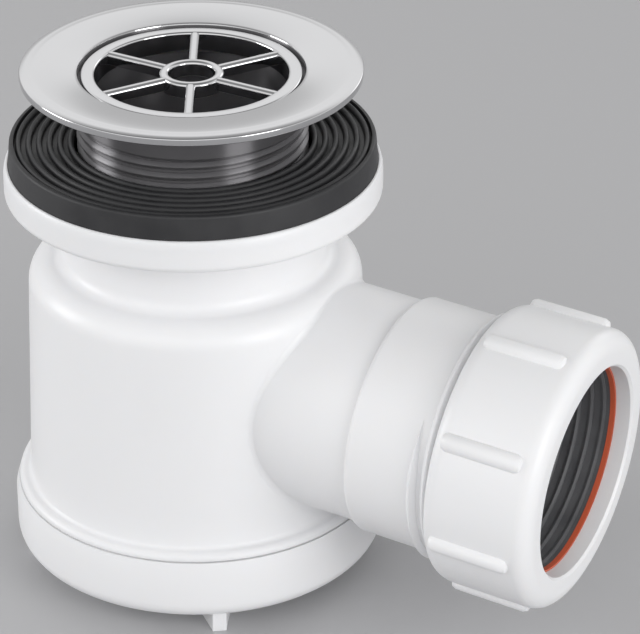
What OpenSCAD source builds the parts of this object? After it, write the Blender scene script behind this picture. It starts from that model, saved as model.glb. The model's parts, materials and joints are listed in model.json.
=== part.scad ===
// Shower trap: a chrome waste flange with a lift-out grid, screwed through a ribbed tray
// washer into a white moulded trap body with a low compression outlet for a waste pipe.
// Origin: middle of the underside, on the feet of the base. +Z up, outlet towards +X.

/* [Base] */
// Height of the base cap, from its underside to the joint line with the body
cap_h = 14; // [10:0.1:20]
// Radius of the rounded bottom edge of the base cap
cap_edge_r = 4; // [1:0.1:6]
// Thickness of the base floor
cap_floor = 2.6; // [1.5:0.1:4]
// Thickness of the skirt of the base cap, around the foot of the body
cap_wall = 3; // [1.5:0.1:4]
// How far the base cap stands out beyond the joint ring
cap_step = 0.8; // [0:0.1:2]
// How far the rim of the base cap draws in towards the joint line
cap_draw = 0.6; // [0:0.1:1.2]
// Height over which the rim of the base cap draws in
cap_draw_h = 2.1; // [0.5:0.1:4]
// Height of the crossed ribs under the base
foot_h = 4.7; // [2:0.1:10]
// Thickness of the crossed ribs under the base, at their ends
foot_t = 2.9; // [1.5:0.1:6]
// How much the crossed ribs widen on each side, away from their ends
foot_flare = 1.8; // [0:0.1:4]
// Length at each end over which they widen
foot_flare_len = 8; // [2:0.1:20]
// Distance from the ends of the crossed ribs to the edge of the base cap
foot_inset = 3.4; // [1:0.1:20]
// Angle of the crossed ribs, from the outlet
foot_turn = 36; // [0:1:90]
// Width of the fine groove left at the joint line between the base cap and the body
joint_groove = 0.3; // [0.1:0.1:1]

/* [Body] */
// Wall thickness of the body
body_wall = 2.6; // [1.8:0.1:3]
// Thickness of the neck, around its thread
neck_wall = 3.3; // [2.6:0.1:6]
// Width of the shoulder, from the neck to the body
shoulder_w = 7.65; // [5.2:0.05:15]
// Radius of the rounded edge of the shoulder
shoulder_r = 5.1; // [3:0.1:5.1]
// How much the body widens from its shoulder down to its foot, in radius
barrel_draft = 1.35; // [0.2:0.05:3]
// Height of the joint ring at the foot of the body, with the fillet above it
ring_h = 2.4; // [2.4:0.1:6]
// How far the joint ring stands out from the body
ring_step = 2.5; // [2.3:0.1:6]
// Radius of the rounded top edge of the joint ring
ring_edge_r = 1.3; // [0.5:0.1:1.4]
// Radius of the fillet between the joint ring and the body
ring_fillet = 0.9; // [0.3:0.1:0.9]

/* [Collar] */
// Height of the collar, from the shoulder to its rim
collar_h = 21.9; // [18:0.1:35]
// How far the edge of the collar hangs down below the floor of its cup
collar_edge_h = 1.9; // [0.5:0.1:6]
// Radius of the rounded lower edge of the collar
collar_edge_r = 1.5; // [0.5:0.1:2]
// Depth of the cup in the collar that holds the washer
cup_depth = 2.5; // [1:0.1:4]
// Thickness of the lip around the cup
lip_t = 0.9; // [0.8:0.1:3]
// Height of the rounded outer edge of that lip
lip_round_h = 2.2; // [0.5:0.1:2.4]

/* [Waste flange] */
// Outside diameter of the flange
flange_d = 70; // [60:0.5:90]
// Thickness of the flange at its rim
flange_t = 1.9; // [1.5:0.1:4]
// Depth of the dish, from the crown of the flange to the edge of the grid recess
dish_depth = 0.9; // [0.2:0.1:1.2]
// Clear height between the flange and the washer, where the tray goes
tray_gap = 13.9; // [2:0.1:18]
// Diameter over the thread of the tail
tail_thread_d = 47.8; // [40:0.1:60]
// Depth of the thread of the tail
tail_thread_depth = 0.9; // [0.5:0.1:1.4]
// How far the plain part of the tail lies below the crest of the thread
tail_plain_step = 0.2; // [0:0.1:0.6]
// Length of the plain part of the tail
tail_plain = 8.2; // [4:0.1:10]
// Length of the tail, from the underside of the flange
tail_len = 26.9; // [22:0.1:27]
// Wall thickness of the tail, at the root of its thread
tail_wall = 2.4; // [1.5:0.1:4]
// Width of the ledge in the flange that the grid rests on
recess_w = 2.65; // [1.5:0.05:5]

/* [Grid] */
// Gap all round the grid in its recess
grid_gap = 0.6; // [0.2:0.1:1]
// Thickness of the flat rim of the grid
grid_t = 1.4; // [0.8:0.1:1.6]
// How far the grid lies below the edge of its recess
grid_drop = 0.6; // [0.2:0.1:1.5]
// Height of the skirt that locates the grid in the bore of the tail
grid_skirt_h = 3; // [1:0.1:6]
// Thickness of that skirt
grid_skirt_t = 0.75; // [0.5:0.05:2]
// Number of spokes
spokes = 6; // [3:1:12]
// Width of each spoke
spoke_w = 2; // [1:0.1:3]
// Depth of each spoke
spoke_h = 2.6; // [1:0.1:4]
// Outside diameter of the hub ring
hub_d = 13.2; // [8:0.1:20]
// Width of the hub ring, from its hole to its edge
hub_w = 1.9; // [1:0.1:3]
// Height of the hub ring
hub_h = 3.2; // [2:0.1:6]
// Angle of the first spoke, from the outlet
spoke_turn = -2; // [-30:1:30]

/* [Tray washer] */
// Thickness of the washer over its raised rings
washer_t = 7.5; // [5:0.1:10]
// Width of the washer, from its hole to its edge
washer_w = 13.7; // [11:0.1:20]
// Gap all round the tail in the hole of the washer
washer_gap = 0.5; // [0.2:0.1:2]
// Number of raised rings on the washer
washer_rings = 6; // [3:1:7]
// Width of each raised ring
washer_ring_w = 1.3; // [0.8:0.1:1.6]
// Height of each raised ring
washer_ring_h = 1.1; // [0.4:0.1:2]
// Width of the plain band at the edge of the washer
washer_band = 0.9; // [0.7:0.1:2]
// Width of the groove between that band and the outermost ring
washer_groove = 0.35; // [0.3:0.05:1]
// How far the side of the washer slopes in, from the rim of the cup to its top
washer_taper = 0.4; // [0:0.1:2]

/* [Water seal] */
// Clear height between the floor of the base and the lower end of the dip tube
dip_clear = 5.2; // [4:0.1:12]
// Height of the passage between the weir and the body above it
weir_gap = 4.5; // [3:0.1:10]
// Width of the passage between the dip tube and the weir tube
weir_room = 5.5; // [3:0.1:6]
// Wall thickness of the weir tube
weir_wall = 2; // [1.2:0.1:3]
// Gap all round the head of the dip tube, which lifts out through the tail
dip_head_gap = 0.4; // [0.2:0.1:1]
// Height of the head of the dip tube
dip_head_h = 4; // [3:0.1:8]
// Width of the ledge under the head of the dip tube
ledge_w = 2.05; // [1.5:0.05:4]
// Thickness of that ledge
ledge_h = 3.4; // [3:0.1:6]
// How far the ledge lies below the shoulder
ledge_drop = 0.6; // [0:0.1:1.5]
// How far the dip tube steps in below the ledge
dip_step = 1.15; // [0.5:0.05:3]
// Wall thickness of the dip tube
dip_wall = 1.8; // [1.2:0.1:3]
// Thickness of the sealing ring of the dip tube
oring_t = 1.9; // [1.5:0.1:2]

/* [Outlet] */
// Outside diameter of the waste pipe
pipe_d = 43; // [32:0.1:50]
// Gap all round the waste pipe in the socket
pipe_gap = 0.7; // [0.3:0.1:1.5]
// Fall of the outlet, in degrees
outlet_fall = 3; // [0:0.5:4]
// Clear height on the axis of the body from the joint ring to the underside of the outlet
outlet_foot = 2.2; // [2:0.1:20]
// Height on the axis of the body from the shoulder to the top of the outlet
outlet_head = 0.4; // [0:0.1:0.6]
// Width of the stop for the pipe at the bottom of the socket
stop_w = 1.7; // [1:0.1:4]
// Wall thickness of the outlet tube
outlet_wall = 3.4; // [1.8:0.1:4]
// Length of the outlet tube, from the wall of the body to the socket
tube_len = 13; // [8:0.1:40]
// Wall thickness of the socket, at the root of its thread
socket_wall = 3; // [2.5:0.1:5]
// Radius of the rounded shoulder of the socket
socket_edge_r = 1.2; // [0.4:0.1:1.2]
// Length of the socket
socket_len = 34.4; // [28:0.1:50]
// Depth of the socket, from its mouth to the stop for the pipe
socket_depth = 16.4; // [14.5:0.1:20]
// Length of the tapered seat for the seal in the mouth of the socket
seat_len = 10.6; // [7:0.1:12]
// How far that seat stands back from the socket at its small end
seat_step = 0.4; // [0.3:0.1:1]
// How much that seat widens towards the mouth, in radius
seat_taper = 1; // [0.3:0.1:1.6]

/* [Compression nut] */
// Depth of the thread on the socket
nut_thread_depth = 1.4; // [0.8:0.1:2]
// Wall thickness of the nut, outside its thread
nut_wall = 2.8; // [2.2:0.1:6]
// Length of the nut
nut_len = 23.2; // [22:0.1:26]
// Gap all round the waste pipe in the front of the nut
nut_hole_gap = 0.75; // [0.3:0.05:1.5]
// Thickness of the front of the nut
nut_front_t = 3.7; // [2.5:0.1:5]
// Depth of the rounded front edge of the nut, along the nut
nut_nose_len = 3.4; // [2:0.1:4]
// Width of the rounded front edge of the nut, across the nut
nut_nose_w = 4; // [2:0.1:5]
// Depth of the rounded rear edge of the nut, along the nut
nut_tail_len = 3.6; // [1:0.1:5]
// Width of the rounded rear edge of the nut, across the nut
nut_tail_w = 2; // [0.5:0.1:2.2]
// Number of grip ribs on the nut
nut_ribs = 8; // [4:1:16]
// Width of each grip rib
nut_rib_w = 4; // [2:0.1:4.2]
// Height of each grip rib above the nut
nut_rib_h = 1.4; // [0.6:0.1:1.6]
// Distance from the front of the nut to the front end of its ribs
nut_rib_front = 4; // [3:0.1:6]
// Distance from the back of the nut to the back end of its ribs
nut_rib_back = 1.8; // [1:0.1:6]
// Angle of the first grip rib, from the lowest point
nut_rib_turn = 16; // [0:1:45]

/* [Seal and slip ring] */
// Thickness of the slip ring
slip_t = 1.1; // [0.6:0.1:2]
// Gap all round the waste pipe in the slip ring
slip_gap = 0.35; // [0.1:0.05:0.7]
// Gap between the edge of the slip ring and the thread of the nut
slip_room = 0.5; // [0.2:0.1:1.5]
// Thickness of the flange of the pipe seal
seal_flange_t = 3.5; // [2:0.1:4.5]
// How far the flange of the pipe seal stands out beyond the socket
seal_flange_step = 0.5; // [0:0.1:0.9]
// Gap all round the waste pipe in the seal, between its lips
seal_gap = 0.4; // [0.2:0.05:0.6]
// Number of lips inside the pipe seal
seal_lips = 5; // [2:1:6]
// Height of the outermost lip
seal_lip_first = 0.35; // [0.2:0.05:0.6]
// How much further each lip reaches in than the one before
seal_lip_step = 0.12; // [0:0.02:0.2]
// Width of each lip
seal_lip_w = 1.2; // [0.8:0.1:1.6]

/* [Fit] */
// Gap between two pieces that rest on one another
seat_gap = 0.05; // [0.02:0.01:0.2]
// Gap all round a thread and its nut or neck
thread_gap = 0.1; // [0.05:0.01:0.3]
// Gap all round a piece that pushes into another
push_gap = 0.1; // [0.05:0.01:0.3]

/* [Hidden] */
$fn = 96;
// Space that a cutting shape runs past the face it cuts
over = 1;

// Radii of the outlet and of the nut around it, from the waste pipe outwards
pipe_bore_r = pipe_d/2 + pipe_gap;
outlet_bore_r = pipe_bore_r - stop_w;
outlet_r = outlet_bore_r + outlet_wall;
socket_r = pipe_bore_r + socket_wall;
seat_small_r = pipe_bore_r + seat_step;
seat_large_r = seat_small_r + seat_taper;
nut_bore_r = socket_r + nut_thread_depth + thread_gap;
nut_r = nut_bore_r + nut_wall;
nut_hole_r = pipe_d/2 + nut_hole_gap;
seal_hole_r = pipe_d/2 + seal_gap;

// Radii of the tail, the grid and the dip tube, from the thread of the tail inwards
tail_root_r = tail_thread_d/2 - tail_thread_depth;
tail_bore_r = tail_root_r - tail_wall;
recess_r = tail_bore_r + recess_w;
grid_skirt_r = tail_bore_r - push_gap;
grid_open_r = grid_skirt_r - grid_skirt_t;
dip_head_r = tail_bore_r - dip_head_gap;
ledge_r = dip_head_r - ledge_w;
dip_r = ledge_r - dip_step;
dip_bore_r = dip_r - dip_wall;
weir_r = dip_r + weir_room;

// Radii of the body, from the thread of the tail outwards
neck_bore_r = tail_thread_d/2 + thread_gap;
neck_wall_r = neck_bore_r + body_wall;
neck_r = neck_bore_r + neck_wall;
barrel_top_r = neck_r + shoulder_w;
barrel_foot_r = barrel_top_r + barrel_draft;
ring_r = barrel_foot_r + ring_step;
cap_r = ring_r + cap_step;
spigot_r = cap_r - cap_wall - push_gap;
washer_hole_r = tail_thread_d/2 + washer_gap;
washer_r = washer_hole_r + washer_w;
cup_r = washer_r + push_gap;
collar_r = cup_r + lip_t;

// Heights, from the feet up. The height of the outlet sets that of the body.
cap_z = foot_h;
floor_z = cap_z + cap_floor;
joint_z = cap_z + cap_h;
barrel_foot_z = joint_z + joint_groove + ring_h;
outlet_z = barrel_foot_z + outlet_foot + outlet_r;
shoulder_z = outlet_z + outlet_r - outlet_head;
barrel_top_z = shoulder_z - shoulder_r;
rim_z = shoulder_z + collar_h;
cup_z = rim_z - cup_depth;
ledge_top_z = shoulder_z - ledge_drop;
ledge_z = ledge_top_z - ledge_h;
weir_z = ledge_z - weir_gap;
dip_end_z = floor_z + dip_clear;
washer_top_z = cup_z + washer_t;
flange_z = washer_top_z + tray_gap;
crown_z = flange_z + flange_t;
recess_edge_z = crown_z - dish_depth;
grid_top_z = recess_edge_z - grid_drop;
grid_seat_z = grid_top_z - grid_t;

// Distances along the outlet, from the axis of the body
socket_start = barrel_top_r + tube_len;
socket_end = socket_start + socket_len;
seat_start = socket_end - seat_len;
pipe_stop = socket_end - socket_depth;
seal_front = socket_end + seat_gap + seal_flange_t;
slip_back = seal_front + seat_gap;
nut_inside = slip_back + slip_t + seat_gap;
nut_front = nut_inside + nut_front_t;
nut_back = nut_front - nut_len;

white = [0.94, 0.94, 0.95];
chrome = [0.80, 0.81, 0.83];
black = [0.16, 0.16, 0.17];
grey = [0.30, 0.30, 0.32];
orange = [0.78, 0.33, 0.20];

// Points of a quarter or part of an ellipse, from angle a0 to a1
function arc(cx, cy, rx, ry, a0, a1, steps = 12) =
    [for (i = [0:steps]) let (a = a0 + (a1 - a0)*i/steps) [cx + rx*cos(a), cy + ry*sin(a)]];

// Outside radius of the body at height z, between its shoulder and its joint ring
function barrel_r(z) =
    barrel_top_r + barrel_draft*(barrel_top_z - z)/(barrel_top_z - barrel_foot_z);

// Everything on the outlet is drawn upright and laid over here. The axis falls by outlet_fall.
module at_outlet() {
    translate([0, 0, outlet_z])
        rotate([0, 90 + outlet_fall, 0])
            children();
}

// A plain ring or tube
module tube(r_in, r_out, z0, z1) {
    rotate_extrude()
        translate([r_in, z0])
            square([r_out - r_in, z1 - z0]);
}

// Outline of the collar, shoulder, barrel, joint ring and spigot of the body
module body_outline() {
    ring_z = joint_z + joint_groove;
    cup_under_z = cup_z - body_wall;
    edge_z = cup_under_z - collar_edge_h;
    edge_in = collar_r - body_wall;
    neck_bend = shoulder_w - shoulder_r;
    lip_round_w = lip_t*0.8;
    ring_top_z = barrel_foot_z - ring_fillet;
    polygon(concat(
        [[0, floor_z + seat_gap], [spigot_r, floor_z + seat_gap], [spigot_r, ring_z],
            [ring_r, ring_z]],
        arc(ring_r - ring_edge_r, ring_top_z - ring_edge_r, ring_edge_r, ring_edge_r, 0, 90, 8),
        arc(barrel_foot_r + ring_fillet, barrel_foot_z, ring_fillet, ring_fillet, 270, 180, 6),
        arc(barrel_top_r - shoulder_r, barrel_top_z, shoulder_r, shoulder_r, 0, 90),
        arc(neck_r + neck_bend, shoulder_z + neck_bend, neck_bend, neck_bend, 268, 180, 8),
        [[neck_r, cup_under_z], [edge_in, cup_under_z], [edge_in, edge_z]],
        arc(collar_r - collar_edge_r, edge_z + collar_edge_r, collar_edge_r, collar_edge_r,
            -90, 0, 6),
        arc(collar_r - lip_round_w, rim_z - lip_round_h, lip_round_w, lip_round_h, 0, 90, 8),
        [[0, rim_z]]));
}

// The hollow of the body around the weir
module body_hollow() {
    spigot_in = spigot_r - body_wall;
    top_in = barrel_top_r - body_wall;
    step_z = barrel_foot_z - body_wall;
    roof_z = shoulder_z - body_wall;
    bend = shoulder_r - body_wall;
    polygon(concat(
        [[0, floor_z - over], [spigot_in, floor_z - over], [spigot_in, step_z - 0.5],
            [barrel_r(step_z) - body_wall, step_z]],
        arc(top_in - bend, barrel_top_z, bend, bend, 0, 90, 6),
        [[neck_wall_r, roof_z], [neck_wall_r, ledge_z], [0, ledge_z]]));
}

// Outline of the outlet tube and the socket, radius across and distance along.
// It starts inside the body's hollow, where the two walls cross.
module outlet_outline() {
    start = sqrt(pow(barrel_top_r - body_wall, 2) - pow(outlet_r, 2)) - 2*over;
    edge = 0.4;
    polygon(concat(
        [[0, start], [outlet_r, start], [outlet_r, socket_start]],
        arc(socket_r - socket_edge_r, socket_start + socket_edge_r,
            socket_edge_r, socket_edge_r, -90, 0, 8),
        [[socket_r, socket_end - edge], [socket_r - edge, socket_end], [0, socket_end]]));
}

// The way through the outlet: bore, stop for the pipe, socket and tapered seat
module outlet_way() {
    start = sqrt(pow(barrel_top_r - body_wall, 2) - pow(outlet_bore_r, 2)) - 2*over;
    polygon([[0, start], [outlet_bore_r, start], [outlet_bore_r, pipe_stop],
        [pipe_bore_r, pipe_stop], [pipe_bore_r, seat_start], [seat_small_r, seat_start],
        [seat_large_r, socket_end], [seat_large_r, socket_end + over],
        [0, socket_end + over]]);
}

// Trap body: collar, neck, barrel, joint ring and outlet, moulded in one
module trap_body() {
    color(white)
    difference() {
        union() {
            rotate_extrude() body_outline();
            at_outlet() rotate_extrude() outlet_outline();
        }
        rotate_extrude() body_hollow();
        at_outlet() rotate_extrude() outlet_way();
        // Way down through the cup, the threaded neck and the ledge
        tube(0, cup_r, cup_z, rim_z + over);
        tube(0, neck_bore_r, ledge_top_z, rim_z + over);
        tube(0, ledge_r, ledge_z - over, ledge_top_z + over);
    }
}

// Base cap: skirt, floor, weir tube and the crossed ribs under the floor, moulded in one
module base_cap() {
    skirt_in = spigot_r + push_gap;
    rib_top = floor_z - over/2;
    rib_end = cap_r - foot_inset;
    rib_full = rib_end - foot_flare_len;
    end_half = foot_t/2;
    full_half = end_half + foot_flare;
    color(white)
    union() {
        rotate_extrude()
            polygon(concat(
                [[0, cap_z]],
                arc(cap_r - cap_edge_r, cap_z + cap_edge_r, cap_edge_r, cap_edge_r, -90, 0),
                [[cap_r, joint_z - cap_draw_h], [cap_r - cap_draw, joint_z],
                    [skirt_in, joint_z],
                    [skirt_in, floor_z], [weir_r + weir_wall, floor_z],
                    [weir_r + weir_wall, weir_z], [weir_r, weir_z], [weir_r, floor_z],
                    [0, floor_z]]));
        for (i = [0:1])
            rotate([0, 0, foot_turn + 90*i])
                linear_extrude(rib_top)
                    polygon([[-rib_end, -end_half], [-rib_full, -full_half],
                        [rib_full, -full_half], [rib_end, -end_half],
                        [rib_end, end_half], [rib_full, full_half],
                        [-rib_full, full_half], [-rib_end, end_half]]);
    }
}

// Dip tube: carries the water down into the weir tube, and lifts out through the tail
module dip_tube() {
    plug_r = ledge_r - push_gap;
    groove_r = ledge_r - oring_t - seat_gap;
    groove_mid = ledge_z + ledge_h/2;
    plug_z = ledge_z - 0.2;
    groove_play = 0.2;
    groove_half = oring_t/2 + groove_play;
    head_z = ledge_top_z + seat_gap;
    head_top_z = head_z + dip_head_h;
    edge = 0.6;
    color(white)
    rotate_extrude()
        polygon([[dip_bore_r, dip_end_z], [dip_r - edge, dip_end_z], [dip_r, dip_end_z + edge],
            [dip_r, plug_z - dip_step], [plug_r, plug_z],
            [plug_r, groove_mid - groove_half], [groove_r, groove_mid - groove_half],
            [groove_r, groove_mid + groove_half], [plug_r, groove_mid + groove_half],
            [plug_r, head_z], [dip_head_r, head_z], [dip_head_r, head_top_z - edge],
            [dip_head_r - edge, head_top_z], [dip_head_r - 3*edge, head_top_z],
            [dip_bore_r, head_z]]);
}

// Sealing ring of the dip tube, in the groove below its head
module dip_tube_seal() {
    color(black)
    rotate_extrude()
        translate([ledge_r - oring_t/2 - seat_gap/2, ledge_z + ledge_h/2])
            circle(r = oring_t/2 - seat_gap/2);
}

// One raised ring of the washer, rounded on top, with its middle at radius r
module washer_ring(r, w, z) {
    translate([r, z])
        intersection() {
            scale([w/washer_ring_h/2, 1]) circle(r = washer_ring_h);
            translate([-w, -over]) square([2*w, washer_ring_h + over]);
        }
}

// Tray washer: sits in the cup, with raised rings towards the tray
module tray_washer() {
    flat_z = washer_top_z - washer_ring_h;
    edge_r = washer_r - washer_taper;
    first_r = washer_hole_r + washer_ring_w/2;
    last_r = edge_r - washer_band - washer_groove - washer_ring_w/2;
    pitch = (last_r - first_r)/(washer_rings - 1);
    band_slope = 0.2;
    bend = 0.6;
    color(black)
    rotate_extrude()
        union() {
            polygon(concat(
                [[washer_hole_r, cup_z + seat_gap], [washer_r, cup_z + seat_gap],
                    [washer_r, rim_z]],
                arc(edge_r - bend, washer_top_z - bend, bend, bend, 0, 90, 6),
                [[edge_r - washer_band, washer_top_z],
                    [edge_r - washer_band - band_slope, flat_z], [washer_hole_r, flat_z]]));
            for (i = [0:washer_rings - 1])
                washer_ring(first_r + i*pitch, washer_ring_w, flat_z);
        }
}

// Radius and height of the dished top of the flange, from its crown in to the grid recess
function dish(steps = 10) = [for (i = [0:steps])
    let (u = i/steps, crown_r = flange_d/2 - 1)
        [crown_r - u*(crown_r - recess_r - 0.3),
            crown_z - 0.12*cos(min(u*6, 1)*90) - dish_depth*pow(u, 1.6)]];

// Waste flange: dished plate, recess for the grid and threaded tail, in one piece.
// The tail is drawn at the root of its thread.
module waste_flange() {
    plain_r = tail_thread_d/2 - tail_plain_step;
    plain_z = flange_z - tail_plain;
    end_z = flange_z - tail_len;
    edge = 0.8;
    color(chrome)
    rotate_extrude()
        polygon(concat(
            [[tail_bore_r, end_z], [tail_root_r - edge, end_z], [tail_root_r, end_z + edge],
                [tail_root_r, plain_z - edge], [plain_r, plain_z], [plain_r, flange_z - 1]],
            arc(plain_r + 1, flange_z - 1, 1, 1, 180, 90, 5),
            arc(flange_d/2 - edge, flange_z + flange_t/2, edge, flange_t/2, -90, 60, 9),
            dish(),
            [[recess_r, recess_edge_z - 0.3], [recess_r, grid_seat_z - seat_gap],
                [tail_bore_r, grid_seat_z - seat_gap]]));
}

// Grid: flat rim, spokes, hub ring and a skirt that drops into the tail
module grid() {
    rim_r = recess_r - grid_gap;
    hub_r = hub_d/2;
    spoke_r = hub_r - hub_w/2;
    edge = 0.3;
    color(chrome)
    union() {
        rotate_extrude()
            polygon([[grid_open_r, grid_seat_z - grid_skirt_h],
                [grid_skirt_r, grid_seat_z - grid_skirt_h], [grid_skirt_r, grid_seat_z],
                [rim_r, grid_seat_z], [rim_r, grid_top_z - edge], [rim_r - edge, grid_top_z],
                [grid_open_r + edge, grid_top_z], [grid_open_r, grid_top_z - edge]]);
        tube(hub_r - hub_w, hub_r, grid_top_z - hub_h, grid_top_z);
        for (i = [0:spokes - 1])
            rotate([0, 0, spoke_turn + i*360/spokes])
                translate([spoke_r, -spoke_w/2, grid_top_z - spoke_h])
                    cube([grid_open_r + edge - spoke_r, spoke_w, spoke_h]);
    }
}

// One grip rib of the nut: a round bar with rounded ends, laid along the nut
module grip_rib(length) {
    bar_r = nut_rib_w/2;
    end_w = bar_r*0.6;
    rotate_extrude()
        polygon([[0, 0], [bar_r - end_w, 0], [bar_r - end_w*0.3, end_w*0.3], [bar_r, end_w],
            [bar_r, length - end_w], [bar_r - end_w*0.3, length - end_w*0.3],
            [bar_r - end_w, length], [0, length]]);
}

// Compression nut: rounded barrel with grip ribs, open behind and with a hole for the pipe
module compression_nut() {
    edge = 0.5;
    color(white)
    at_outlet()
    difference() {
        union() {
            rotate_extrude()
                polygon(concat(
                    [[0, nut_back]],
                    arc(nut_r - nut_tail_w, nut_back + nut_tail_len, nut_tail_w, nut_tail_len,
                        -90, 0),
                    arc(nut_r - nut_nose_w, nut_front - nut_nose_len, nut_nose_w, nut_nose_len,
                        0, 90),
                    [[0, nut_front]]));
            for (i = [0:nut_ribs - 1])
                rotate([0, 0, nut_rib_turn + i*360/nut_ribs])
                    translate([nut_r + nut_rib_h - nut_rib_w/2, 0, nut_back + nut_rib_back])
                        grip_rib(nut_len - nut_rib_front - nut_rib_back);
        }
        rotate_extrude()
            polygon([[0, nut_back - over], [nut_bore_r, nut_back - over],
                [nut_bore_r, nut_inside], [nut_hole_r, nut_inside],
                [nut_hole_r, nut_front - edge], [nut_hole_r + edge, nut_front],
                [nut_hole_r + edge, nut_front + over], [0, nut_front + over]]);
    }
}

// Slip ring: lets the nut turn against the seal without twisting it
module slip_ring() {
    color(orange)
    at_outlet()
        tube(pipe_d/2 + slip_gap, nut_bore_r - slip_room, slip_back, slip_back + slip_t);
}

// Pipe seal: tapered sleeve with a flange at the mouth and lips that grip the pipe
module pipe_seal() {
    small_z = seat_start + push_gap;
    flange_back = socket_end + seat_gap;
    flange_r = socket_r + seal_flange_step;
    first_lip = 1.4;
    lip_foot = 0.2;
    pitch = (seal_front - small_z - first_lip)/(seal_lips - 0.4);
    color(grey)
    at_outlet()
    rotate_extrude()
        union() {
            polygon([[seal_hole_r, small_z], [seat_small_r - push_gap, small_z],
                [seat_large_r - push_gap, flange_back], [flange_r, flange_back],
                [flange_r, seal_front], [seal_hole_r, seal_front]]);
            for (i = [0:seal_lips - 1])
                let (reach = seal_lip_first + i*seal_lip_step,
                    mid = seal_front - first_lip - i*pitch)
                    polygon([[seal_hole_r + lip_foot, mid - seal_lip_w/2],
                        [seal_hole_r + lip_foot, mid + seal_lip_w/2],
                        [seal_hole_r - reach*0.5, mid + seal_lip_w*0.4],
                        [seal_hole_r - reach, mid],
                        [seal_hole_r - reach*0.5, mid - seal_lip_w*0.4]]);
        }
}

waste_flange();
grid();
tray_washer();
trap_body();
base_cap();
dip_tube();
dip_tube_seal();
compression_nut();
slip_ring();
pipe_seal();
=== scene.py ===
"""Shower trap: white moulded body, chrome flange and grid, rubber washer, compression outlet."""
import json
import math

import bmesh
import bpy
from mathutils import Matrix, Vector


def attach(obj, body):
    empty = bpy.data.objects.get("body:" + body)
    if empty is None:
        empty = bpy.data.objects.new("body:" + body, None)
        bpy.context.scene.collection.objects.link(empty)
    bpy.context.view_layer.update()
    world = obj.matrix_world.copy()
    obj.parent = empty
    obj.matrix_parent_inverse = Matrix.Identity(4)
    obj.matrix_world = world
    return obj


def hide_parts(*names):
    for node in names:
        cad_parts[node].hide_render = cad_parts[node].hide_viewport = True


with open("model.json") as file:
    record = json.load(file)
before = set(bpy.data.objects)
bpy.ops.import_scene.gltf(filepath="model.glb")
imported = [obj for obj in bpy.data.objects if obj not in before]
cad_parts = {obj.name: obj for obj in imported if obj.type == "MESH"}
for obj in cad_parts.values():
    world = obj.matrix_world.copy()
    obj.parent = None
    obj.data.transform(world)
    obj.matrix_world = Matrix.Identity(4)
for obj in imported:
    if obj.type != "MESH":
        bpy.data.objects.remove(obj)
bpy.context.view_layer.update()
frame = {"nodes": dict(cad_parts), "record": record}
scene = bpy.context.scene
bodies = frame["record"]["behaviour"]["bodies"]
MM = 0.001

# Sizes of the solids that the dressed pieces follow, in mm
OUTLET_Z = 47.5
OUTLET_FALL = math.radians(3)
OUTLET_R = 23.9
FLANGE_Z = 111.8
TAIL_PLAIN = 8.2
TAIL_LEN = 26.9
TAIL_BORE_R = 20.6
TAIL_ROOT_R = 23.0
TAIL_PLAIN_R = 23.7
TAIL_CREST_R = 23.9
TAIL_PITCH = 2.309
FLANGE_R = 35.0
CROWN_Z = 113.63
DISH_DEPTH = 0.9
DISH_POWER = 1.6
RIM_FALL = 0.12
RECESS_R = 23.25
LEDGE_Z = 110.75
GRID_SEAT_Z = 110.8
GRID_TOP_Z = 112.2
GRID_RIM_R = 22.65
GRID_SKIRT_R = 20.5
GRID_SKIRT_Z = 107.8
GRID_OPEN_R = 19.75
HUB_R = 6.6
HUB_HOLE_R = 4.7
HUB_Z = 109.0
SPOKES = 6
SPOKE_W = 2.0
SPOKE_Z = 109.6
SPOKE_TURN = math.radians(-2)
SOCKET_END = 82.35
SOCKET_ROOT_R = 25.2
SOCKET_CREST_R = 26.6
SOCKET_PITCH = 3.0
BARREL_TOP_R = 34.95
BARREL_TOP_Z = 65.9
BARREL_BOTTOM_R = 36.3
BARREL_BOTTOM_Z = 21.4
SHOULDER_R = 5.1
SINK = 0.03

# Thread drawing: steps a turn, size left at its ends, and where the socket's starts
THREAD_STEPS = 96
THREAD_END_SIZE = 0.02
SOCKET_START = 63.15
SOCKET_START_TURN = math.radians(235)
END_INSET = 1.4
TAIL_TOP_INSET = 0.6
TAIL_END_INSET = 1.2

# Angles, in degrees, above which an edge is kept sharp
SHARP_CAD = 24
SHARP_TURNED = 30
SHARP_THREAD = 50

# From upright to lying along the outlet
OUTLET = Matrix.Translation((0, 0, OUTLET_Z*MM)) @ Matrix.Rotation(math.pi/2 + OUTLET_FALL, 4, "Y")


def body_of_node(node):
    """Name of the CAD body that a node belongs to."""
    return next(name for name, nodes in bodies.items() if node in nodes)


def new_object(name, mesh, material):
    """Links a mesh as an object with one material."""
    piece = bpy.data.objects.new(name, mesh)
    scene.collection.objects.link(piece)
    mesh.materials.clear()
    mesh.materials.append(material)
    return piece


def smooth_by_angle(bm, degrees):
    """Smooth faces, with sharp edges where the surface turns by more than the angle."""
    limit = math.radians(degrees)
    for face in bm.faces:
        face.smooth = True
    for edge in bm.edges:
        edge.smooth = len(edge.link_faces) == 2 and edge.calc_face_angle(0) < limit


def dressed(node, material):
    """A merged copy of a CAD node with smooth shading, in the node's place."""
    source = frame["nodes"][node]
    bm = bmesh.new()
    bm.from_mesh(source.data)
    bmesh.ops.remove_doubles(bm, verts=bm.verts, dist=1e-6)
    smooth_by_angle(bm, SHARP_CAD)
    mesh = bpy.data.meshes.new(node + "_surface")
    bm.to_mesh(mesh)
    bm.free()
    piece = new_object(node + "_surface", mesh, material)
    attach(piece, body_of_node(node))
    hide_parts(node)
    return piece


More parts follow.
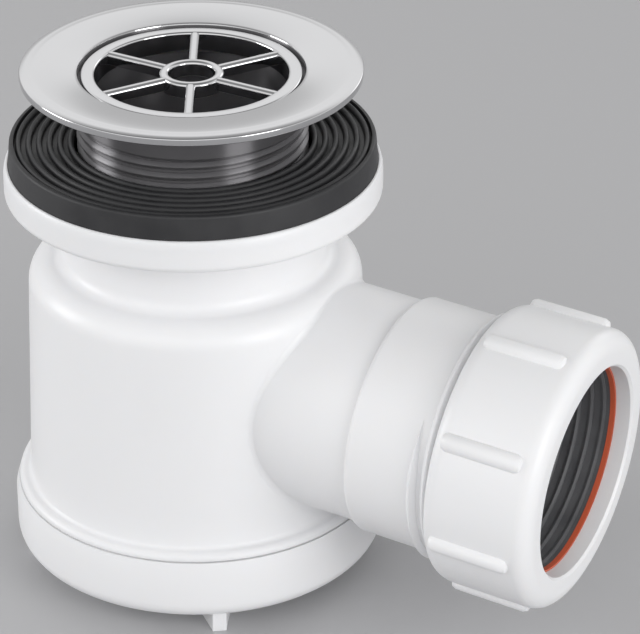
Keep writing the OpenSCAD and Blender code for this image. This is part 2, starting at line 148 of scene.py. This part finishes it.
def maths(tree, operation, a, b):
    """One sum on sockets or numbers."""
    node = tree.nodes.new("ShaderNodeMath")
    node.operation = operation
    for socket, value in zip(node.inputs, (a, b)):
        if isinstance(value, (int, float)):
            socket.default_value = value
        else:
            tree.links.new(value, socket)
    return node.outputs[0]


# Materials

def new_material(name, colour, roughness, metallic=0.0):
    """A principled material with its uniform values on the shader's own sockets."""
    material = bpy.data.materials.new(name)
    material.use_nodes = True
    shader = material.node_tree.nodes["Principled BSDF"]
    shader.inputs["Base Color"].default_value = (*colour, 1)
    shader.inputs["Roughness"].default_value = roughness
    shader.inputs["Metallic"].default_value = metallic
    return material, material.node_tree, shader


def noise(tree, scale, detail=3.0, roughness=0.5):
    """Noise on object coordinates."""
    where = tree.nodes.new("ShaderNodeTexCoord")
    texture = tree.nodes.new("ShaderNodeTexNoise")
    texture.inputs["Scale"].default_value = scale
    texture.inputs["Detail"].default_value = detail
    texture.inputs["Roughness"].default_value = roughness
    tree.links.new(where.outputs["Object"], texture.inputs["Vector"])
    return texture


def to_range(tree, source, low, high, from_low=0.3, from_high=0.7):
    """Maps a noise value to a range."""
    node = tree.nodes.new("ShaderNodeMapRange")
    node.inputs["From Min"].default_value = from_low
    node.inputs["From Max"].default_value = from_high
    node.inputs["To Min"].default_value = low
    node.inputs["To Max"].default_value = high
    tree.links.new(source, node.inputs["Value"])
    return node.outputs["Result"]


def bump(tree, shader, height, strength, distance):
    """Fine relief on the shader's normal."""
    node = tree.nodes.new("ShaderNodeBump")
    node.inputs["Strength"].default_value = strength
    node.inputs["Distance"].default_value = distance
    tree.links.new(height, node.inputs["Height"])
    tree.links.new(node.outputs["Normal"], shader.inputs["Normal"])


def moulded_white():
    material, tree, shader = new_material("moulded_white", (0.86, 0.86, 0.87), 0.34)
    shader.inputs["Subsurface Weight"].default_value = 0.15
    shader.inputs["Subsurface Radius"].default_value = (0.004, 0.0035, 0.003)
    shader.inputs["Subsurface Scale"].default_value = 1.0
    shader.inputs["Specular IOR Level"].default_value = 0.45
    flow = noise(tree, 18, 1)
    tree.links.new(to_range(tree, flow.outputs["Fac"], 0.32, 0.37), shader.inputs["Roughness"])
    grain = noise(tree, 900, 2)
    bump(tree, shader, grain.outputs["Fac"], 0.05, 0.0002)
    return material


def chrome_plate():
    """Bright plate of the flange and grid."""
    material, tree, shader = new_material("chrome_plate", (0.60, 0.60, 0.61), 0.06, 1.0)
    haze = noise(tree, 120, 5)
    tree.links.new(to_range(tree, haze.outputs["Fac"], 0.05, 0.10), shader.inputs["Roughness"])
    ripple = noise(tree, 70, 1)
    bump(tree, shader, ripple.outputs["Fac"], 0.05, 0.0002)
    return material


def turned_metal_painted_dark():
    """The tail and its bore: turned metal, so its lights stretch along the tail, with a painted dark
    colour: painted dark reflection on the tail, painted shade in the bore.
    """
    # Dark base colour: painted dark reflection and painted shade, not the metal's own colour
    material, tree, shader = new_material("turned_metal_painted_dark", (0.20, 0.196, 0.204), 0.38, 1.0)
    shader.inputs["Anisotropic"].default_value = 1.0
    shader.inputs["Anisotropic Rotation"].default_value = 0.25
    round_axis = tree.nodes.new("ShaderNodeTangent")
    round_axis.direction_type = "RADIAL"
    round_axis.axis = "Z"
    tree.links.new(round_axis.outputs["Tangent"], shader.inputs["Tangent"])
    haze = noise(tree, 160, 4)
    tree.links.new(to_range(tree, haze.outputs["Fac"], 0.34, 0.42), shader.inputs["Roughness"])
    where = tree.nodes.new("ShaderNodeTexCoord")
    squeeze = tree.nodes.new("ShaderNodeMapping")
    squeeze.inputs["Scale"].default_value = (25, 25, 1500)
    tree.links.new(where.outputs["Object"], squeeze.inputs["Vector"])
    lines = tree.nodes.new("ShaderNodeTexNoise")
    lines.inputs["Scale"].default_value = 1.0
    lines.inputs["Detail"].default_value = 2.0
    tree.links.new(squeeze.outputs["Vector"], lines.inputs["Vector"])
    bump(tree, shader, lines.outputs["Fac"], 0.12, 0.0002)
    return material


def rubber(name, colour, dust):
    material, tree, shader = new_material(name, colour, 0.5)
    shader.inputs["Specular IOR Level"].default_value = 0.5
    bloom = noise(tree, 160, 5)
    mix = tree.nodes.new("ShaderNodeMix")
    mix.data_type = "RGBA"
    mix.inputs["A"].default_value = (*colour, 1)
    mix.inputs["B"].default_value = (*dust, 1)
    tree.links.new(to_range(tree, bloom.outputs["Fac"], 0.0, 0.5), mix.inputs["Factor"])
    tree.links.new(mix.outputs["Result"], shader.inputs["Base Color"])
    tree.links.new(to_range(tree, bloom.outputs["Fac"], 0.42, 0.6), shader.inputs["Roughness"])
    grain = noise(tree, 1500, 2)
    bump(tree, shader, grain.outputs["Fac"], 0.15, 0.0001)
    return material


def slip_orange():
    material, tree, shader = new_material("slip_orange", (0.62, 0.115, 0.05), 0.35)
    grain = noise(tree, 700, 3)
    tree.links.new(to_range(tree, grain.outputs["Fac"], 0.3, 0.45), shader.inputs["Roughness"])
    bump(tree, shader, grain.outputs["Fac"], 0.05, 0.0001)
    return material


WHITE = moulded_white()
CHROME = chrome_plate()
TURNED_PAINTED_DARK = turned_metal_painted_dark()
BLACK = rubber("black_rubber", (0.018, 0.018, 0.020), (0.04, 0.04, 0.042))
GREY = rubber("grey_rubber", (0.085, 0.087, 0.092), (0.15, 0.152, 0.158))
ORANGE = slip_orange()


# Threads, as a ridge that follows a helix

def thread_tree():
    """Geometry Nodes: a ridge of given section along a helix, thinning out at both ends."""
    tree = bpy.data.node_groups.new("thread_ridge", "GeometryNodeTree")
    face = tree.interface
    for name in ("Root radius", "Ridge height", "Pitch", "Turns", "Fade", "Width share", "Crest round"):
        face.new_socket(name, in_out="INPUT", socket_type="NodeSocketFloat")
    face.new_socket("Material", in_out="INPUT", socket_type="NodeSocketMaterial")
    face.new_socket("Geometry", in_out="OUTPUT", socket_type="NodeSocketGeometry")
    nodes, link = tree.nodes, tree.links.new
    given = nodes.new("NodeGroupInput")
    result = nodes.new("NodeGroupOutput")

    spiral = nodes.new("GeometryNodeCurveSpiral")
    spiral.inputs["Resolution"].default_value = THREAD_STEPS
    spiral.inputs["Reverse"].default_value = True
    link(given.outputs["Turns"], spiral.inputs["Rotations"])
    link(given.outputs["Root radius"], spiral.inputs["Start Radius"])
    link(given.outputs["Root radius"], spiral.inputs["End Radius"])
    rise = maths(tree, "MULTIPLY", given.outputs["Pitch"], given.outputs["Turns"])
    link(rise, spiral.inputs["Height"])
    upright = nodes.new("GeometryNodeSetCurveNormal")
    upright.mode = "Z_UP"
    link(spiral.outputs["Curve"], upright.inputs["Curve"])

    # Full height along the run, down to almost nothing over the fade length at each end
    along = nodes.new("GeometryNodeSplineParameter")
    length = nodes.new("GeometryNodeSplineLength")
    from_start = maths(tree, "DIVIDE", along.outputs["Length"], given.outputs["Fade"])
    left_over = maths(tree, "SUBTRACT", length.outputs["Length"], along.outputs["Length"])
    from_end = maths(tree, "DIVIDE", left_over, given.outputs["Fade"])
    nearest = maths(tree, "MINIMUM", from_start, from_end)
    size = maths(tree, "MAXIMUM", maths(tree, "MINIMUM", nearest, 1.0), THREAD_END_SIZE)

    section = nodes.new("GeometryNodeCurvePrimitiveCircle")
    section.inputs["Resolution"].default_value = 4
    section.inputs["Radius"].default_value = 1.0
    eased = nodes.new("GeometryNodeFilletCurve")
    eased.mode = "POLY"
    eased.inputs["Count"].default_value = 4
    link(given.outputs["Crest round"], eased.inputs["Radius"])
    link(section.outputs["Curve"], eased.inputs["Curve"])
    oval = nodes.new("GeometryNodeTransform")
    axes = nodes.new("ShaderNodeCombineXYZ")
    link(given.outputs["Ridge height"], axes.inputs["X"])
    half_width = maths(tree, "MULTIPLY", given.outputs["Pitch"], given.outputs["Width share"])
    link(half_width, axes.inputs["Y"])
    link(eased.outputs["Curve"], oval.inputs["Geometry"])
    link(axes.outputs[0], oval.inputs["Scale"])

    sweep = nodes.new("GeometryNodeCurveToMesh")
    sweep.inputs["Fill Caps"].default_value = True
    link(upright.outputs["Curve"], sweep.inputs["Curve"])
    link(oval.outputs["Geometry"], sweep.inputs["Profile Curve"])
    link(size, sweep.inputs["Scale"])
    realize = nodes.new("GeometryNodeRealizeInstances")
    paint = nodes.new("GeometryNodeSetMaterial")
    link(sweep.outputs["Mesh"], realize.inputs["Geometry"])
    link(realize.outputs["Geometry"], paint.inputs["Geometry"])
    link(given.outputs["Material"], paint.inputs["Material"])
    link(paint.outputs["Geometry"], result.inputs["Geometry"])
    return tree


THREAD = thread_tree()


def thread(name, material, body, root_r, crest_r, pitch, start, stop, place, turn=0.0,
           fade=30.0, width_share=0.42, crest_round=0.3):
    """A thread ridge from start to stop along its axis, in mm, laid in place.

    The width share is the ridge's half width at its root, as a share of the pitch."""
    base = bpy.data.meshes.new(name)
    piece = bpy.data.objects.new(name, base)
    scene.collection.objects.link(piece)
    modifier = piece.modifiers.new("thread", "NODES")
    modifier.node_group = THREAD
    sizes = {
        "Root radius": root_r*MM,
        "Ridge height": (crest_r - root_r)*MM,
        "Pitch": pitch*MM,
        "Turns": (stop - start)/pitch,
        "Fade": fade*MM,
        "Width share": width_share,
        "Crest round": crest_round,
        "Material": material,
    }
    for item in THREAD.interface.items_tree:
        if item.in_out == "INPUT":
            modifier[item.identifier] = sizes[item.name]
    bpy.context.view_layer.update()
    depsgraph = bpy.context.evaluated_depsgraph_get()
    mesh = bpy.data.meshes.new_from_object(piece.evaluated_get(depsgraph))
    piece.modifiers.clear()
    piece.data = mesh
    mesh.transform(place @ Matrix.Translation((0, 0, start*MM)) @ Matrix.Rotation(turn, 4, "Z"))
    bm = bmesh.new()
    bm.from_mesh(mesh)
    bmesh.ops.remove_doubles(bm, verts=bm.verts, dist=1e-7)
    bmesh.ops.recalc_face_normals(bm, faces=bm.faces)
    smooth_by_angle(bm, SHARP_THREAD)
    bm.to_mesh(mesh)
    bm.free()
    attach(piece, body)
    return piece


# Pieces

dressed("trap_body", WHITE)
dressed("base_cap", WHITE)
dressed("dip_tube", WHITE)
dressed("compression_nut", WHITE)
dressed("tray_washer", BLACK)
dressed("dip_tube_seal", BLACK)
dressed("slip_ring", ORANGE)
dressed("pipe_seal", GREY)


def eased_outline(corners, steps=6):
    """Outline through corners of (across, up, radius), with an arc in place of each corner."""
    outline = []
    for i, (across, upward, radius) in enumerate(corners):
        here = Vector((across, upward, 0))
        before = Vector((*corners[i - 1][:2], 0)) - here
        after = Vector((*corners[(i + 1) % len(corners)][:2], 0)) - here
        if radius == 0:
            outline.append((across, upward))
            continue
        half = before.angle(after)/2
        middle = here + (before.normalized() + after.normalized()).normalized()*(radius/math.sin(half))
        first = here + before.normalized()*(radius/math.tan(half)) - middle
        last = here + after.normalized()*(radius/math.tan(half)) - middle
        for j in range(steps + 1):
            spot = middle + first.slerp(last, j/steps)*radius
            outline.append((spot.x, spot.y))
    return outline


def turned_shape(bm, outline, around=192):
    """Turns a closed outline of (radius, height), in mm, about the upright axis."""
    rings = []
    for i in range(around):
        angle = 2*math.pi*i/around
        rings.append([bm.verts.new((r*math.cos(angle)*MM, r*math.sin(angle)*MM, z*MM))
                      for r, z in outline])
    for i in range(around):
        here = rings[i]
        there = rings[(i + 1) % around]
        for j in range(len(outline)):
            k = (j + 1) % len(outline)
            bm.faces.new((here[j], there[j], there[k], here[k]))


def finish_piece(bm, name, node, material):
    """Makes a bmesh the piece that stands for a CAD node."""
    bmesh.ops.recalc_face_normals(bm, faces=bm.faces)
    smooth_by_angle(bm, SHARP_TURNED)
    mesh = bpy.data.meshes.new(name)
    bm.to_mesh(mesh)
    bm.free()
    piece = new_object(name, mesh, material)
    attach(piece, body_of_node(node))
    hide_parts(node)
    return piece


def flange_surface():
    """Dished plate with a square rim, the recess for the grid, and the tail."""
    plain_z = FLANGE_Z - TAIL_PLAIN
    end_z = FLANGE_Z - TAIL_LEN
    crown_r = FLANGE_R - 1
    inner_r = RECESS_R + 0.3
    outline = eased_outline([
        (TAIL_BORE_R, LEDGE_Z, 0), (TAIL_BORE_R, end_z, 0.3), (TAIL_ROOT_R, end_z, 0.6),
        (TAIL_ROOT_R, plain_z - 0.8, 0),
        (TAIL_PLAIN_R, plain_z, 0.2), (TAIL_PLAIN_R, FLANGE_Z, 1.0), (FLANGE_R, FLANGE_Z, 0.3),
        (FLANGE_R, CROWN_Z - 0.33, 0.3), (crown_r, CROWN_Z - RIM_FALL, 0)])
    for i in range(1, 31):
        u = i/30
        fall = RIM_FALL*math.cos(min(6*u, 1)*math.pi/2)
        outline.append((crown_r - u*(crown_r - inner_r), CROWN_Z - fall - DISH_DEPTH*u**DISH_POWER))
    outline += [(RECESS_R + 0.08, CROWN_Z - DISH_DEPTH - 0.1), (RECESS_R, CROWN_Z - DISH_DEPTH - 0.3),
                (RECESS_R, LEDGE_Z)]
    bm = bmesh.new()
    turned_shape(bm, outline)
    piece = finish_piece(bm, "flange_surface", "waste_flange", CHROME)
    piece.data.materials.append(TURNED_PAINTED_DARK)
    # Tail and bore faces take the painted dark material: painted dark reflection on the tail, painted
    # shade in the bore
    for face in piece.data.polygons:
        across = math.hypot(face.center.x, face.center.y)
        if across < (TAIL_PLAIN_R + 0.7)*MM and face.center.z < (FLANGE_Z - 0.1)*MM:
            face.material_index = 1
    return piece


def grid_surface():
    """Rim with its skirt, hub ring and round-topped spokes."""
    bm = bmesh.new()
    turned_shape(bm, eased_outline([
        (GRID_OPEN_R, GRID_SKIRT_Z, 0.2), (GRID_SKIRT_R, GRID_SKIRT_Z, 0.2),
        (GRID_SKIRT_R, GRID_SEAT_Z, 0), (GRID_RIM_R, GRID_SEAT_Z, 0.2),
        (GRID_RIM_R, GRID_TOP_Z, 0.5), (GRID_OPEN_R, GRID_TOP_Z, 0.5)]))
    turned_shape(bm, eased_outline([
        (HUB_HOLE_R, HUB_Z, 0.2), (HUB_R, HUB_Z, 0.2), (HUB_R, GRID_TOP_Z, 0.7),
        (HUB_HOLE_R, GRID_TOP_Z, 0.7)]), around=96)
    top_z = GRID_TOP_Z - 0.08
    section = eased_outline([
        (-SPOKE_W/2, SPOKE_Z, 0.2), (SPOKE_W/2, SPOKE_Z, 0.2), (SPOKE_W/2, top_z, 0.75),
        (-SPOKE_W/2, top_z, 0.75)])
    for i in range(SPOKES):
        spin = Matrix.Rotation(SPOKE_TURN + 2*math.pi*i/SPOKES, 3, "Z")
        ends = []
        for reach in ((HUB_HOLE_R + HUB_R)/2, GRID_OPEN_R + 0.4):
            ends.append([bm.verts.new(spin @ Vector((reach, across, upward))*MM)
                         for across, upward in section])
        for j in range(len(section)):
            k = (j + 1) % len(section)
            bm.faces.new((ends[0][j], ends[1][j], ends[1][k], ends[0][k]))
        bm.faces.new(ends[0])
        bm.faces.new(ends[1])
    return finish_piece(bm, "grid_surface", "grid", CHROME)


flange_surface()
grid_surface()
# The tail's thread takes the same painted dark colour as the tail
thread("tail_thread", TURNED_PAINTED_DARK, body_of_node("waste_flange"), TAIL_ROOT_R, TAIL_CREST_R,
       TAIL_PITCH,
       FLANGE_Z - TAIL_LEN + TAIL_END_INSET, FLANGE_Z - TAIL_PLAIN - TAIL_TOP_INSET, Matrix.Identity(4),
       width_share=0.45, crest_round=0.35)
thread("socket_thread", WHITE, body_of_node("trap_body"), SOCKET_ROOT_R,
       SOCKET_CREST_R, SOCKET_PITCH, SOCKET_START, SOCKET_END - END_INSET, OUTLET,
       turn=SOCKET_START_TURN, fade=12.0, width_share=0.4, crest_round=0.22)


def outlet_fillet(radius=1.8, around=140, across=8):
    """The soft hollow that a ball leaves as it rolls round between the body and the outlet."""
    axis = Vector((math.cos(OUTLET_FALL), 0, -math.sin(OUTLET_FALL)))
    side = Vector((0, 1, 0))
    upward = axis.cross(side)
    middle = Vector((0, 0, OUTLET_Z))
    shoulder = Vector((BARREL_TOP_R - SHOULDER_R, BARREL_TOP_Z))
    widening = (BARREL_BOTTOM_R - BARREL_TOP_R)/(BARREL_TOP_Z - BARREL_BOTTOM_Z)

    def body_reach(z):
        """Distance of the ball's centre from the body's axis at height z."""
        if z <= BARREL_TOP_Z:
            return BARREL_TOP_R + widening*(BARREL_TOP_Z - z) + radius
        return shoulder.x + math.sqrt(max((SHOULDER_R + radius)**2 - (z - BARREL_TOP_Z)**2, 0))

    bm = bmesh.new()
    rows = []
    for i in range(around):
        angle = 2*math.pi*i/around
        outward = side*math.cos(angle) + upward*math.sin(angle)
        near, far = 10.0, 60.0
        for halving in range(40):
            t = (near + far)/2
            centre = middle + axis*t + outward*(OUTLET_R + radius)
            if math.hypot(centre.x, centre.y) < body_reach(centre.z):
                near = t
            else:
                far = t
        flat = Vector((centre.x, centre.y, 0)).normalized()
        if centre.z <= BARREL_TOP_Z:
            to_body = -flat
        else:
            over_edge = Vector((flat.x*shoulder.x, flat.y*shoulder.x, BARREL_TOP_Z))
            to_body = (over_edge - centre).normalized()
        to_tube = -outward
        row = []
        for j in range(across + 1):
            towards = to_body.slerp(to_tube, j/across)
            row.append(bm.verts.new((centre + towards*(radius + SINK))*MM))
        rows.append(row)
    for i in range(around):
        here = rows[i]
        there = rows[(i + 1) % around]
        for j in range(across):
            bm.faces.new((here[j], here[j + 1], there[j + 1], there[j]))
    for face in bm.faces:
        face.smooth = True
    mesh = bpy.data.meshes.new("outlet_fillet")
    bm.to_mesh(mesh)
    bm.free()
    piece = new_object("outlet_fillet", mesh, WHITE)
    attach(piece, body_of_node("trap_body"))
    return piece


outlet_fillet()


# Floor, world, lamps and camera

bpy.ops.mesh.primitive_plane_add(size=6, location=(0, 0, -0.00005))
floor = bpy.context.object
floor.name = "floor"
floor.data.materials.append(new_material("pale_floor", (0.50, 0.50, 0.51), 0.8)[0])


def studio_world(levels, panels):
    """Grey surroundings, brightest some 25 to 30 degrees up, with soft panels.

    A panel is given as (direction, half width and edge in degrees, level).
    The levels are pairs of (sine of the height above the horizon, brightness)."""
    world = bpy.data.worlds.new("studio")
    scene.world = world
    world.use_nodes = True
    tree = world.node_tree
    sky = tree.nodes["Background"]
    sky.inputs["Color"].default_value = (1, 1, 1, 1)
    where = tree.nodes.new("ShaderNodeTexCoord")
    axes = tree.nodes.new("ShaderNodeSeparateXYZ")
    tree.links.new(where.outputs["Generated"], axes.inputs["Vector"])
    height = tree.nodes.new("ShaderNodeFloatCurve")
    curve = height.mapping.curves[0]
    brightest = max(level for sine, level in levels)
    curve.points[0].location = (levels[0][0], levels[0][1]/brightest)
    curve.points[1].location = (levels[-1][0], levels[-1][1]/brightest)
    for sine, level in levels[1:-1]:
        curve.points.new(sine, level/brightest)
    height.mapping.update()
    tree.links.new(axes.outputs["Z"], height.inputs["Value"])
    total = maths(tree, "MULTIPLY", height.outputs["Value"], brightest)
    for direction, half_width, edge, level in panels:
        facing = tree.nodes.new("ShaderNodeVectorMath")
        facing.operation = "DOT_PRODUCT"
        facing.inputs[1].default_value = Vector(direction).normalized()
        tree.links.new(where.outputs["Generated"], facing.inputs[0])
        glow = tree.nodes.new("ShaderNodeMapRange")
        glow.interpolation_type = "SMOOTHSTEP"
        glow.inputs["From Min"].default_value = math.cos(math.radians(half_width + edge))
        glow.inputs["From Max"].default_value = math.cos(math.radians(max(half_width - edge, 0)))
        glow.inputs["To Max"].default_value = level
        tree.links.new(facing.outputs["Value"], glow.inputs["Value"])
        total = maths(tree, "ADD", total, glow.outputs["Result"])
    tree.links.new(total, sky.inputs["Strength"])


studio_world(
    ((0.0, 0.62), (0.17, 0.64), (0.27, 0.70), (0.40, 1.08), (0.52, 1.08), (0.66, 0.68), (0.80, 0.40),
     (1.0, 0.24)),
    (
        ((0.47, -0.88, 0.10), 48, 30, 0.42),
        ((0.12, 0.98, 0.30), 9, 6, 1.2),
    ),
)


def lamp(name, place, target, size, power):
    """A soft rectangular lamp that points at the target."""
    data = bpy.data.lights.new(name, "AREA")
    data.shape = "RECTANGLE"
    data.size, data.size_y = size
    data.energy = power
    light = bpy.data.objects.new(name, data)
    scene.collection.objects.link(light)
    light.location = place
    light.rotation_euler = (Vector(target) - Vector(place)).to_track_quat("-Z", "Y").to_euler()


lamp("key", (0.95, -0.27, 0.30), (0.02, 0, 0.06), (0.45, 0.5), 3.0)
lamp("left", (-0.92, -0.39, 0.34), (0.02, 0, 0.06), (0.45, 0.5), 3.3)

# The camera stands as the photographer did: bearing, height and distance come from the outlines
BEARING = math.radians(27.984)
ELEVATION = math.radians(28.42)
DISTANCE = 700
ASIDE = 26.058
RAISED = 43.062
CAMERA_BASE_Z = 6.5
back = Vector((math.sin(BEARING)*math.cos(ELEVATION), -math.cos(BEARING)*math.cos(ELEVATION),
               math.sin(ELEVATION)))
right = Vector((math.cos(BEARING), math.sin(BEARING), 0))
up = back.cross(right)
camera_data = bpy.data.cameras.new("camera")
camera_data.sensor_fit = "HORIZONTAL"
camera_data.sensor_width = 36
camera_data.lens = 180.09
camera_data.clip_start = 0.01
camera = bpy.data.objects.new("camera", camera_data)
scene.collection.objects.link(camera)
turn = Matrix((right, up, back)).transposed().to_4x4()
place = (back*DISTANCE + right*ASIDE + up*RAISED)*MM + Vector((0, 0, CAMERA_BASE_Z*MM))
camera.matrix_world = Matrix.Translation(place) @ turn
scene.camera = camera
scene.view_settings.view_transform = "Standard"
